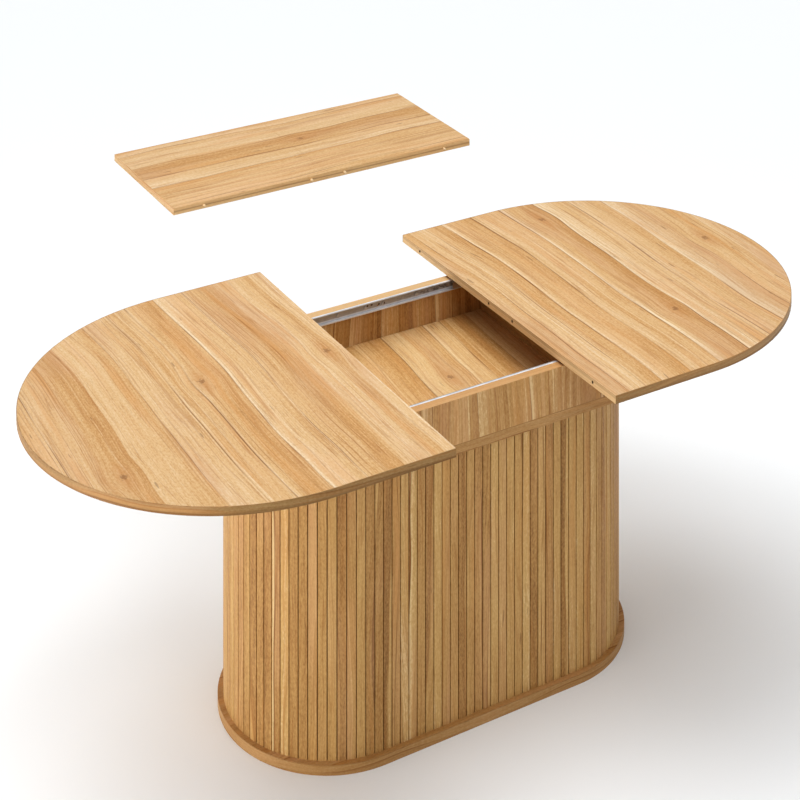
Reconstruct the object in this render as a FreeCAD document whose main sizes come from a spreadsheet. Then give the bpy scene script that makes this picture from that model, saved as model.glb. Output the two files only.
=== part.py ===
import FreeCAD, Part
import Sketcher
import os
import re

# A dining table whose two D-shaped tops slide apart on steel slides over a storage box.
# The box stands on a slatted pedestal, and a leaf that folds in half fills the gap.
# Millimetres, +Z up, origin on the floor under the middle of the plinth, +X along the slides.

SIZES = {
    # Tops
    "top_width": 900,
    "top_straight": 270,
    "top_round": 480,
    "top_thick": 18,
    "table_height": 750,
    "edge_band": 1.5,
    # Leaf, laid out where it has been carried to behind the table
    "leaf_width": 400,
    "leaf_play": 4,
    "leaf_seam": 0.3,
    "leaf_clearance": 9,
    "leaf_x": 170,
    "leaf_y": 990,
    # Dowels in the meeting edges and their sockets
    "dowel_radius": 3,
    "dowel_stick_out": 8,
    "dowel_depth": 20,
    "dowel_taper": 1,
    "dowel_fit": 0.05,
    "socket_fit": 0.2,
    "socket_spare": 2,
    "dowel_near_share": 0.0556,
    "dowel_far_share": 0.4056,
    # Pedestal
    "pedestal_straight": 500,
    "pedestal_width": 500,
    "plinth_thick": 22,
    "plate_thick": 22,
    "plate_corner": 160,
    "slat_inset": 12.5,
    "slat_thick": 8,
    "slat_groove": 2,
    "slat_chamfer": 0.8,
    "slat_count": 24,
    "end_slat_count": 36,
    "core_thick": 15,
    "rib_spacing": 300,
    "rib_thick": 18,
    "batten_size": 30,
    # Storage box
    "box_length": 632,
    "box_height": 98,
    "box_wall": 22,
    "box_floor_thick": 5,
    "box_floor_fit": 0.3,
    "slide_gap": 7,
    "notch_width": 40,
    "notch_depth": 33,
    "peg_radius": 4,
    "peg_bite": 16,
    # Slides
    "slide_length": 900,
    "slide_height": 23,
    "slide_depth": 7,
    "slide_gauge": 1.2,
    "slide_return": 2.5,
    "ball_radius": 1.3,
    "ball_play": 0.05,
    "ball_socket_play": 0.15,
    "runner_length": 440,
    "runner_setback": 6,
    "runner_gauge": 1.2,
    "runner_reach": 2,
    "runner_end_gap": 1.2,
    "cage_length": 200,
    "cage_setback": 28,
    "cage_gauge": 0.6,
    "cage_play": 0.2,
    "cage_flange": 3.9,
    # Brackets between runners and tops
    "bracket_gauge": 2,
    "bracket_length": 60,
    "bracket_foot": 22,
    # Screws and rivets
    "screw_radius": 2,
    "screw_head_radius": 4,
    "screw_head_height": 2.2,
    "screw_bite": 14,
    "screw_hole_fit": 0.3,
    "spare_hole_radius": 1.5,
    "rivet_hole_radius": 2.2,
    "rivet_radius": 1.8,
    "rivet_head_radius": 3.4,
    "rivet_head_height": 1.6,
    "rivet_tail": 1,
    # Leaf hinges
    "hinge_length": 50,
    "hinge_plate_width": 28,
    "hinge_gauge": 2,
    "hinge_fit": 0.15,
    "fold_gap": 0.3,
    "knuckle_radius": 3,
    "knuckle_relief": 0.5,
    "knuckle_gap": 0.3,
    "pin_radius": 1.25,
    "pin_play": 0.05,
    "hinge_screw_radius": 1.5,
    "hinge_screw_head_radius": 3,
    "hinge_screw_bite": 12,
}

# Sizes worked out from the driving ones
WORKED_OUT = {
    "top_under": "table_height - top_thick",
    "box_top": "top_under - slide_gap",
    "box_bottom": "box_top - box_height",
    "plate_bottom": "box_bottom - plate_thick",
    "slat_height": "plate_bottom - plinth_thick",
    "half_gap": "(leaf_width + leaf_play) / 2",
    "half_width": "top_width / 2",
    "pedestal_radius": "pedestal_width / 2",
    "pedestal_end": "(pedestal_straight + pedestal_width) / 2",
    "plate_corner_x": "pedestal_end - plate_corner",
    "slat_face": "pedestal_radius - slat_inset",
    "core_face": "slat_face - slat_thick",
    "core_inside": "core_face - core_thick",
    "slat_pitch": "pedestal_straight / slat_count",
    "slat_width": "slat_pitch - slat_groove",
    "end_slat_width": "pi * slat_face / end_slat_count - slat_groove",
    "box_inside": "pedestal_radius - box_wall",
    "box_end": "box_length / 2",
    "box_end_inside": "box_end - box_wall",
    "slide_low": "box_top - slide_height",
    "slide_middle": "box_top - slide_height / 2",
    "ball_step": "ball_radius + ball_play",
    "ball_high": "box_top - slide_gauge - ball_step",
    "ball_low": "slide_low + slide_gauge + ball_step",
    "ball_in": "slide_depth / 2",
    "runner_high": "ball_high - ball_step",
    "runner_low": "ball_low + ball_step",
    "runner_tip": "slide_gauge + runner_end_gap",
    "runner_face": "slide_depth + runner_reach",
    "runner_start": "half_gap + runner_setback",
    "cage_start": "half_gap + cage_setback",
    "cage_back": "slide_gauge + cage_play",
    "bracket_face": "runner_face + bracket_gauge",
    "foot_low": "top_under - bracket_gauge",
    "leaf_low": "table_height + top_thick + leaf_clearance",
    "leaf_middle": "leaf_low + top_thick / 2",
    "leaf_half": "top_width / 2 - leaf_seam / 2",
    "leaf_front": "leaf_y - leaf_width / 2",
    "leaf_back": "leaf_y + leaf_width / 2",
    "fold_axis": "leaf_low - fold_gap / 2",
    "knuckle_length": "(hinge_length - 2 * knuckle_gap) / 3",
    "knuckle_pocket": "knuckle_radius + knuckle_relief",
}

SIDES = {"front": -1, "back": 1}
HANDS = {"left": -1, "right": 1}
DOWEL_PLACES = ("-dowel_far_share", "-dowel_near_share", "dowel_near_share", "dowel_far_share")
HINGE_PLACE_SHARES = (-0.32, 0, 0.32)
BRACKET_PLACE_SHARES = (0.2, 0.75)
BRACKET_SCREW_SHARES = (-0.3, 0.3)
BATTEN_SCREW_SHARES = (-0.4, 0, 0.4)
SLIDE_SCREW_SHARES = (-0.12, -0.037, 0.018, 0.12)
SPARE_HOLE_SHARES = (
    ("spare_hole_radius", -0.176, 0.0), ("spare_hole_radius", -0.021, 0.12),
    ("rivet_hole_radius", 0.001, -0.08), ("spare_hole_radius", 0.219, 0.0),
)
BALL_PLACE_SHARES = (0.08, 0.36, 0.64, 0.92)
APRON_PEG_SHARES = (-0.35, 0, 0.35)
CORNER_PEG_SHARES = (0.2, 0.5)
END_PEG_SHARES = (-0.5, 0.5)
HINGE_SCREW_SHARES = (-0.32, 0.32)

doc = FreeCAD.newDocument("butterfly_leaf_table")
sheet = doc.addObject("Spreadsheet::Sheet", "sizes")
for row, (alias, size) in enumerate(SIZES.items(), start=1):
    sheet.set(f"A{row}", alias)
    sheet.set(f"B{row}", str(size))
    sheet.setAlias(f"B{row}", alias)
doc.recompute()


def full(text):
    """Writes an expression in the sheet's cells, with each worked out size put in its place."""

    def cell(found):
        word = found.group(0)
        if word in WORKED_OUT:
            return "(" + full(WORKED_OUT[word]) + ")"
        if word in SIZES:
            return "sizes." + word
        return word

    return re.sub(r"[a-z][a-z_]*", cell, text)


def bind(thing, path, text):
    thing.setExpression(path, full(text))


def place(thing, x, y, z):
    bind(thing, "Placement.Base.x", x)
    bind(thing, "Placement.Base.y", y)
    bind(thing, "Placement.Base.z", z)


def block(name, x, y, z, length, width, height):
    """A square-edged board from its lowest corner."""
    board = doc.addObject("Part::Box", name)
    bind(board, "Length", length)
    bind(board, "Width", width)
    bind(board, "Height", height)
    place(board, x, y, z)
    return board


TURNS = {
    "x": FreeCAD.Rotation(FreeCAD.Vector(0, 1, 0), 90),
    "y": FreeCAD.Rotation(FreeCAD.Vector(1, 0, 0), -90),
    "z": FreeCAD.Rotation(),
}


def rod(name, along, radius, length, x, y, z):
    """A round rod that starts at x, y, z and runs along one axis."""
    cylinder = doc.addObject("Part::Cylinder", name)
    cylinder.Placement.Rotation = TURNS[along]
    bind(cylinder, "Radius", radius)
    bind(cylinder, "Height", length)
    place(cylinder, x, y, z)
    return cylinder


def dowel(name, along, eased_start, x, y, z):
    """A dowel that starts at x, y, z and runs along one axis, with the end that stands out tapered."""
    narrow = "dowel_radius - dowel_taper"
    stem_length = "dowel_depth + dowel_stick_out - dowel_taper"
    near = {"x": x, "y": y, "z": z}
    far = dict(near)
    far[along] = f"{near[along]} + " + ("dowel_taper" if eased_start else stem_length)
    stem_place, taper_place = (far, near) if eased_start else (near, far)
    stem = rod(name + "_stem", along, "dowel_radius", stem_length, **stem_place)
    taper = doc.addObject("Part::Cone", name + "_taper")
    taper.Placement.Rotation = TURNS[along]
    bind(taper, "Radius1", narrow if eased_start else "dowel_radius")
    bind(taper, "Radius2", "dowel_radius" if eased_start else narrow)
    bind(taper, "Height", "dowel_taper")
    place(taper, **taper_place)
    return join(name, [stem, taper])


def half_round(name, hand, radius, z, height):
    """Half a disc on the left or right end of the pedestal's straight part."""
    disc = doc.addObject("Part::Cylinder", name)
    disc.Angle = 180
    disc.Placement.Rotation = FreeCAD.Rotation(FreeCAD.Vector(0, 0, 1), -90 * hand)
    bind(disc, "Radius", radius)
    bind(disc, "Height", height)
    place(disc, f"{hand} * pedestal_straight / 2", "0", z)
    return disc


def join(name, pieces):
    fused = doc.addObject("Part::MultiFuse", name)
    fused.Shapes = pieces
    fused.Refine = True
    return fused


def cut(name, base, tool):
    rest = doc.addObject("Part::Cut", name)
    rest.Base = base
    rest.Tool = tool
    return rest


def group(name, pieces):
    bundle = doc.addObject("Part::Compound", name)
    bundle.Links = pieces
    return bundle


def outline_pad(name, plane_role, offset, corners, depth):
    """A body with one straight-sided outline, padded from its offset along the plane's normal."""
    body = doc.addObject("PartDesign::Body", name)
    body.AllowCompound = True
    sketch = body.newObject("Sketcher::SketchObject", name + "_outline")
    plane = next(part for part in body.Origin.OriginFeatures if part.Role == plane_role)
    sketch.AttachmentSupport = (plane, "")
    sketch.MapMode = "FlatFace"
    bind(sketch, "AttachmentOffset.Base.z", offset)
    count = len(corners)
    for corner in range(count):
        start = FreeCAD.Vector(corner, corner * corner, 0)
        end = FreeCAD.Vector(corner + 1, (corner + 1) ** 2, 0)
        sketch.addGeometry(Part.LineSegment(start, end), False)
    for corner in range(count):
        follows = (corner + 1) % count
        sketch.addConstraint(Sketcher.Constraint("Coincident", corner, 2, follows, 1))
    for corner, distances in enumerate(corners):
        for kind, text in zip(("DistanceX", "DistanceY"), distances):
            index = sketch.addConstraint(Sketcher.Constraint(kind, -1, 1, corner, 1, 1.0))
            bind(sketch, f"Constraints[{index}]", text)
    pad = body.newObject("PartDesign::Pad", name + "_pad")
    pad.Profile = (sketch, [""])
    bind(pad, "Length", depth)
    return body, sketch, pad


nodes = []


def node(label, thing):
    """Names a finished sub-part."""
    thing.Label = label
    nodes.append(thing)
    return thing


# Plinth: a board of stadium outline
middle = block(
    "plinth_middle", "-pedestal_straight / 2", "-pedestal_radius", "0",
    "pedestal_straight", "pedestal_width", "plinth_thick",
)
ends = [
    half_round(f"plinth_{name}", hand, "pedestal_radius", "0", "plinth_thick")
    for name, hand in HANDS.items()
]
node("plinth", join("plinth", [middle, *ends]))

# Top plate: as long and wide as the plinth, with smaller round corners, so that the whole box rests on it
plate_pieces = [
    block(
        "plate_lengthwise", "-pedestal_end", "-pedestal_radius + plate_corner", "plate_bottom",
        "2 * pedestal_end", "pedestal_width - 2 * plate_corner", "plate_thick",
    ),
    block(
        "plate_crosswise", "-plate_corner_x", "-pedestal_radius", "plate_bottom",
        "2 * plate_corner_x", "pedestal_width", "plate_thick",
    ),
]
for name, hand in HANDS.items():
    for side, sign in SIDES.items():
        plate_pieces.append(rod(
            f"plate_{name}_{side}_corner", "z", "plate_corner", "plate_thick",
            f"{hand} * plate_corner_x", f"{sign} * (pedestal_radius - plate_corner)", "plate_bottom",
        ))
node("top_plate", join("top_plate", plate_pieces))

# Cores: flat boards on the long sides and bent shells round the ends
for side, sign in SIDES.items():
    low = "core_inside" if sign > 0 else "-core_face"
    node(f"{side}_core", block(
        f"{side}_core", "-pedestal_straight / 2", low, "plinth_thick",
        "pedestal_straight", "core_thick", "slat_height",
    ))
for name, hand in HANDS.items():
    outer = half_round(f"{name}_shell_outer", hand, "core_face", "plinth_thick", "slat_height")
    inner = half_round(f"{name}_shell_inner", hand, "core_inside", "plinth_thick", "slat_height")
    node(f"{name}_end_core", cut(f"{name}_end_core", outer, inner))


# Slats: flat strips with eased face corners, glued side by side on the cores
def slat_outline(middle, width, back, face, sign, along_x):
    """Corners of one slat: its back, its sides and its chamfered face."""
    half = f"({width}) / 2"
    eased = f"({half} - slat_chamfer)"
    corners = [
        (f"-{half}", back), (half, back), (half, f"{face} - slat_chamfer"),
        (eased, face), (f"-{eased}", face), (f"-{half}", f"{face} - slat_chamfer"),
    ]
    placed = [(f"{middle} + {across}", f"{sign} * ({depth})") for across, depth in corners]
    if along_x:
        return placed
    return [(depth, across) for across, depth in placed]


for side, sign in SIDES.items():
    first = "-pedestal_straight / 2 + slat_pitch / 2"
    corners = slat_outline(first, "slat_width", "core_face", "slat_face", sign, True)
    body, sketch, pad = outline_pad(f"{side}_slats", "XY_Plane", "plinth_thick", corners, "slat_height")
    row = body.newObject("PartDesign::LinearPattern", f"{side}_slat_row")
    row.Originals = [pad]
    row.Direction = (sketch, ["H_Axis"])
    bind(row, "Length", "slat_pitch * (slat_count - 1)")
    bind(row, "Occurrences", "slat_count")
    body.Tip = row
    node(f"{side}_slats", body)

for name, hand in HANDS.items():
    corners = slat_outline("0", "end_slat_width", "core_face", "slat_face", 1, False)
    body, sketch, pad = outline_pad(f"{name}_end_slats", "XY_Plane", "plinth_thick", corners, "slat_height")
    bind(sketch, "AttachmentOffset.Base.x", f"{hand} * pedestal_straight / 2")
    sketch.AttachmentOffset.Rotation = FreeCAD.Rotation(FreeCAD.Vector(0, 0, 1), 1)
    bind(sketch, "AttachmentOffset.Rotation.Angle", f"-90 * {hand} + 90 / end_slat_count")
    fan = body.newObject("PartDesign::PolarPattern", f"{name}_end_slat_fan")
    fan.Originals = [pad]
    fan.Axis = (sketch, ["N_Axis"])
    bind(fan, "Angle", "180 - 180 / end_slat_count")
    bind(fan, "Occurrences", "end_slat_count")
    body.Tip = fan
    node(f"{name}_end_slats", body)

# Ribs: cross boards that hold the two long cores apart
for name, hand in HANDS.items():
    node(f"{name}_rib", block(
        f"{name}_rib", f"{hand} * rib_spacing / 2 - rib_thick / 2", "-core_inside", "plinth_thick",
        "rib_thick", "2 * core_inside", "slat_height",
    ))

# Battens: square strips along the cores, screwed to the plinth below and the top plate above
BATTEN_LOWS = {"base": "plinth_thick", "head": "plate_bottom - batten_size"}
for level, low in BATTEN_LOWS.items():
    strips = []
    for side, sign in SIDES.items():
        near = "core_inside - batten_size" if sign > 0 else "-core_inside"
        strips.append(block(
            f"{side}_{level}_batten", "-rib_spacing / 2 + rib_thick / 2", near, low,
            "rib_spacing - rib_thick", "batten_size", "batten_size",
        ))
    node(f"{level}_battens", group(f"{level}_battens", strips))


def upright_screw(name, x, y, seat, up, shank):
    """A pan-head screw whose head sits at the seat and whose shank runs up or down from it."""
    head_low = f"{seat} - screw_head_height" if up else seat
    shank_low = seat if up else f"{seat} - ({shank})"
    head = rod(name + "_head", "z", "screw_head_radius", "screw_head_height", x, y, head_low)
    stem = rod(name + "_stem", "z", "screw_radius", shank, x, y, shank_low)
    return join(name, [head, stem])


BATTEN_SEATS = {"base": "plinth_thick + batten_size", "head": "plate_bottom - batten_size"}
for level, seat in BATTEN_SEATS.items():
    screws = []
    for side, sign in SIDES.items():
        for count, share in enumerate(BATTEN_SCREW_SHARES):
            screws.append(upright_screw(
                f"{side}_{level}_screw_{count}", f"{share} * rib_spacing",
                f"{sign} * (core_inside - batten_size / 2)", seat, level == "head",
                "batten_size + screw_bite",
            ))
    node(f"{level}_screws", group(f"{level}_screws", screws))

# Storage box: long aprons, notched end boards between them and a thin floor
for side, sign in SIDES.items():
    low = "box_inside" if sign > 0 else "-pedestal_radius"
    node(f"{side}_apron", block(
        f"{side}_apron", "-box_end", low, "box_bottom", "box_length", "box_wall", "box_height",
    ))
for name, hand in HANDS.items():
    near = "box_end_inside" if hand > 0 else "-box_end"
    board = block(
        f"{name}_end_blank", near, "-box_inside", "box_bottom", "box_wall", "2 * box_inside", "box_height",
    )
    notches = []
    for side, sign in SIDES.items():
        low = "box_inside - notch_width" if sign > 0 else "-box_inside"
        notches.append(block(
            f"{name}_{side}_notch", near, low, "box_top - notch_depth",
            "box_wall", "notch_width", "notch_depth",
        ))
    node(f"{name}_end_board", cut(f"{name}_end_board", board, group(f"{name}_notches", notches)))
node("box_floor", block(
    "box_floor", "-box_end_inside + box_floor_fit", "-box_inside + box_floor_fit", "box_bottom",
    "2 * (box_end_inside - box_floor_fit)", "2 * (box_inside - box_floor_fit)", "box_floor_thick",
))

# Blind wooden pegs: level ones at the box's corners, upright ones into the top plate
pegs = []
for name, hand in HANDS.items():
    for side, sign in SIDES.items():
        for count, share in enumerate(CORNER_PEG_SHARES):
            low = "box_inside - peg_bite" if sign > 0 else "-box_inside - peg_bite"
            pegs.append(rod(
                f"{name}_{side}_corner_peg_{count}", "y", "peg_radius", "2 * peg_bite",
                f"{hand} * (box_end - box_wall / 2)", low, f"box_bottom + {share} * box_height",
            ))
node("corner_dowels", group("corner_dowels", pegs))
pegs = []
for side, sign in SIDES.items():
    for count, share in enumerate(APRON_PEG_SHARES):
        pegs.append(rod(
            f"{side}_apron_peg_{count}", "z", "peg_radius", "2 * peg_bite",
            f"{share} * box_length", f"{sign} * (pedestal_radius - box_wall / 2)", "box_bottom - peg_bite",
        ))
for name, hand in HANDS.items():
    for count, share in enumerate(END_PEG_SHARES):
        pegs.append(rod(
            f"{name}_end_peg_{count}", "z", "peg_radius", "2 * peg_bite",
            f"{hand} * (box_end - box_wall / 2)", f"{share} * box_inside", "box_bottom - peg_bite",
        ))
node("apron_dowels", group("apron_dowels", pegs))


# Slides: every member is a folded steel profile that runs along X beside an apron
def slide_bar(name, side, start, length, corners):
    """A profile given as distances in from the apron's inner face and heights, padded along X."""
    sign = SIDES[side]
    placed = [(f"{sign} * (box_inside - ({inward}))", height) for inward, height in corners]
    return outline_pad(name, "YZ_Plane", start, placed, length)[0]


def hand_start(hand, start, length):
    """Lowest x of a piece that begins at a distance from the middle on one hand."""
    return start if hand > 0 else f"-({start}) - ({length})"


CHANNEL = (
    ("0", "slide_low"), ("slide_depth", "slide_low"), ("slide_depth", "slide_low + slide_return"),
    ("slide_depth - slide_gauge", "slide_low + slide_return"),
    ("slide_depth - slide_gauge", "slide_low + slide_gauge"), ("slide_gauge", "slide_low + slide_gauge"),
    ("slide_gauge", "box_top - slide_gauge"), ("slide_depth - slide_gauge", "box_top - slide_gauge"),
    ("slide_depth - slide_gauge", "box_top - slide_return"), ("slide_depth", "box_top - slide_return"),
    ("slide_depth", "box_top"), ("0", "box_top"),
)
RUNNER = (
    ("runner_tip", "runner_low"), ("runner_face", "runner_low"), ("runner_face", "runner_high"),
    ("runner_tip", "runner_high"), ("runner_tip", "runner_high - runner_gauge"),
    ("runner_face - runner_gauge", "runner_high - runner_gauge"),
    ("runner_face - runner_gauge", "runner_low + runner_gauge"), ("runner_tip", "runner_low + runner_gauge"),
)
CAGE = (
    ("cage_back", "ball_low - cage_gauge / 2"), ("cage_back + cage_flange", "ball_low - cage_gauge / 2"),
    ("cage_back + cage_flange", "ball_low + cage_gauge / 2"),
    ("cage_back + cage_gauge", "ball_low + cage_gauge / 2"),
    ("cage_back + cage_gauge", "ball_high - cage_gauge / 2"),
    ("cage_back + cage_flange", "ball_high - cage_gauge / 2"),
    ("cage_back + cage_flange", "ball_high + cage_gauge / 2"), ("cage_back", "ball_high + cage_gauge / 2"),
)
BRACKET = (
    ("runner_face", "runner_low"), ("bracket_face", "runner_low"), ("bracket_face", "foot_low"),
    ("runner_face + bracket_foot", "foot_low"), ("runner_face + bracket_foot", "top_under"),
    ("runner_face", "top_under"),
)


def level_fastener(name, side, x, z, seat, head, head_height, stem, tail):
    """A fastener across the slide: head on the box's inside of its seat, stem towards the apron."""
    sign = SIDES[side]
    head_low = f"box_inside - ({seat}) - {head_height}" if sign > 0 else f"-box_inside + ({seat})"
    stem_low = f"box_inside - ({seat})" if sign > 0 else f"-box_inside + ({seat}) - ({tail})"
    cap = rod(name + "_head", "y", head, head_height, x, head_low, z)
    shaft = rod(name + "_stem", "y", stem, tail, x, stem_low, z)
    return join(name, [cap, shaft])


# Fixed channels, bored for their screws and with spare holes near the middle
screws = []
for side, sign in SIDES.items():
    bar = slide_bar(f"{side}_channel_bar", side, "-slide_length / 2", "slide_length", CHANNEL)
    low = "box_inside - slide_gauge" if sign > 0 else "-box_inside"
    holes = []
    for count, (radius, along, up) in enumerate(SPARE_HOLE_SHARES):
        holes.append(rod(
            f"{side}_spare_hole_{count}", "y", radius, "slide_gauge",
            f"{along} * slide_length", low, f"slide_middle + {up} * slide_height",
        ))
    for count, share in enumerate(SLIDE_SCREW_SHARES):
        x = f"{share} * slide_length"
        holes.append(rod(
            f"{side}_channel_hole_{count}", "y", "screw_radius + screw_hole_fit", "slide_gauge",
            x, low, "slide_middle",
        ))
        screws.append(level_fastener(
            f"{side}_slide_screw_{count}", side, x, "slide_middle", "slide_gauge",
            "screw_head_radius", "screw_head_height", "screw_radius", "slide_gauge + screw_bite",
        ))
    node(f"{side}_slide_channel", cut(f"{side}_slide_channel", bar, group(f"{side}_channel_holes", holes)))
node("slide_screws", group("slide_screws", screws))

# Runners, with a row of balls above and below them in a folded cage
for name, hand in HANDS.items():
    cages = []
    balls = []
    for side, sign in SIDES.items():
        start = hand_start(hand, "runner_start", "runner_length")
        runner = slide_bar(f"{name}_{side}_runner", side, start, "runner_length", RUNNER)
        node(f"{name}_{side}_runner", runner)
        start = hand_start(hand, "cage_start", "cage_length")
        strip = slide_bar(f"{name}_{side}_cage_strip", side, start, "cage_length", CAGE)
        sockets = []
        for count, share in enumerate(BALL_PLACE_SHARES):
            for level in ("ball_high", "ball_low"):
                x = f"{start} + {share} * cage_length"
                y = f"{sign} * (box_inside - ball_in)"
                place_name = f"{name}_{side}_{level}_{count}"
                sockets.append(rod(
                    place_name + "_socket", "z", "ball_radius + ball_socket_play", "2 * cage_gauge",
                    x, y, f"{level} - cage_gauge",
                ))
                ball = doc.addObject("Part::Sphere", place_name)
                bind(ball, "Radius", "ball_radius")
                place(ball, x, y, level)
                balls.append(ball)
        cages.append(cut(f"{name}_{side}_cage", strip, group(f"{name}_{side}_ball_sockets", sockets)))
    node(f"{name}_cages", group(f"{name}_cages", cages))
    node(f"{name}_balls", group(f"{name}_balls", balls))

# Brackets: steel angles riveted to the runners and screwed up into the tops
for name, hand in HANDS.items():
    angles = []
    screws = []
    rivets = []
    for side, sign in SIDES.items():
        for spot, share in enumerate(BRACKET_PLACE_SHARES):
            middle = f"{hand} * (runner_start + {share} * runner_length)"
            piece = f"{name}_{side}_bracket_{spot}"
            start = f"{middle} - bracket_length / 2"
            angle = slide_bar(piece + "_blank", side, start, "bracket_length", BRACKET)
            holes = []
            for count, across in enumerate(BRACKET_SCREW_SHARES):
                x = f"{middle} + {across} * bracket_length"
                y = f"{sign} * (box_inside - bracket_face - bracket_foot / 2)"
                holes.append(rod(
                    f"{piece}_hole_{count}", "z", "screw_radius + screw_hole_fit", "bracket_gauge",
                    x, y, "foot_low",
                ))
                screws.append(upright_screw(
                    f"{piece}_screw_{count}", x, y, "foot_low", True, "bracket_gauge + screw_bite",
                ))
                rivets.append(level_fastener(
                    f"{piece}_rivet_{count}", side, x, "slide_middle", "bracket_face", "rivet_head_radius",
                    "rivet_head_height", "rivet_radius", "bracket_gauge + runner_gauge + rivet_tail",
                ))
            angles.append(cut(piece, angle, group(piece + "_holes", holes)))
    node(f"{name}_brackets", group(f"{name}_brackets", angles))
    node(f"{name}_bracket_screws", group(f"{name}_bracket_screws", screws))
    node(f"{name}_rivets", group(f"{name}_rivets", rivets))


# Tops: D-shaped panels, a straight part and half an ellipse, with a thin band round the edge
def half_oval(name, hand, inset):
    """Half an elliptic board whose flat side meets the straight part of a top."""
    along = f"(top_round - {inset})"
    across = f"(half_width - {inset})"
    oval = doc.addObject("Part::Ellipse", name + "_oval")
    oval.Placement.Rotation = FreeCAD.Rotation(FreeCAD.Vector(0, 0, 1), 1)
    bind(oval, "MajorRadius", f"max({along}; {across})")
    bind(oval, "MinorRadius", f"min({along}; {across})")
    bind(oval, "Placement.Rotation.Angle", f"{along} >= {across} ? 0 : 90")
    place(oval, f"{hand} * (half_gap + top_straight)", "0", "top_under")
    whole = doc.addObject("Part::Extrusion", name + "_whole")
    whole.Base = oval
    whole.DirMode = "Custom"
    whole.Dir = FreeCAD.Vector(0, 0, 1)
    whole.Solid = True
    bind(whole, "LengthFwd", "top_thick")
    reach = "(half_gap + top_straight)" if hand > 0 else "(-half_gap - top_straight - top_round)"
    keep = block(name + "_keep", reach, "-half_width", "top_under", "top_round", "top_width", "top_thick")
    half = doc.addObject("Part::Common", name)
    half.Base = whole
    half.Tool = keep
    return half


def d_board(name, hand, inset):
    """The straight part and the half oval as one board, drawn in by an inset all round."""
    straight = block(
        name + "_straight", hand_start(hand, "half_gap", "top_straight"), f"-half_width + {inset}",
        "top_under", "top_straight", f"top_width - 2 * {inset}", "top_thick",
    )
    return join(name, [straight, half_oval(name + "_round", hand, inset)])


for name, hand in HANDS.items():
    panel = d_board(f"{name}_panel_blank", hand, "edge_band")
    whole = d_board(f"{name}_band_outside", hand, "0")
    inside = d_board(f"{name}_band_inside", hand, "edge_band")
    node(f"{name}_edge_band", cut(f"{name}_edge_band", whole, inside))
    sockets = []
    pegs = []
    for count, share in enumerate(DOWEL_PLACES):
        y = f"{share} * top_width"
        z = "top_under + top_thick / 2"
        if hand < 0:
            sockets.append(rod(
                f"{name}_dowel_hole_{count}", "x", "dowel_radius + dowel_fit", "dowel_depth + dowel_fit",
                "-half_gap - dowel_depth - dowel_fit", y, z,
            ))
            pegs.append(dowel(f"{name}_dowel_{count}", "x", False, "-half_gap - dowel_depth", y, z))
        else:
            sockets.append(rod(
                f"{name}_dowel_hole_{count}", "x", "dowel_radius + socket_fit",
                "dowel_stick_out + socket_spare", "half_gap", y, z,
            ))
    node(f"{name}_top_panel", cut(f"{name}_top_panel", panel, group(f"{name}_dowel_holes", sockets)))
    if pegs:
        node(f"{name}_dowels", group(f"{name}_dowels", pegs))

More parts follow.
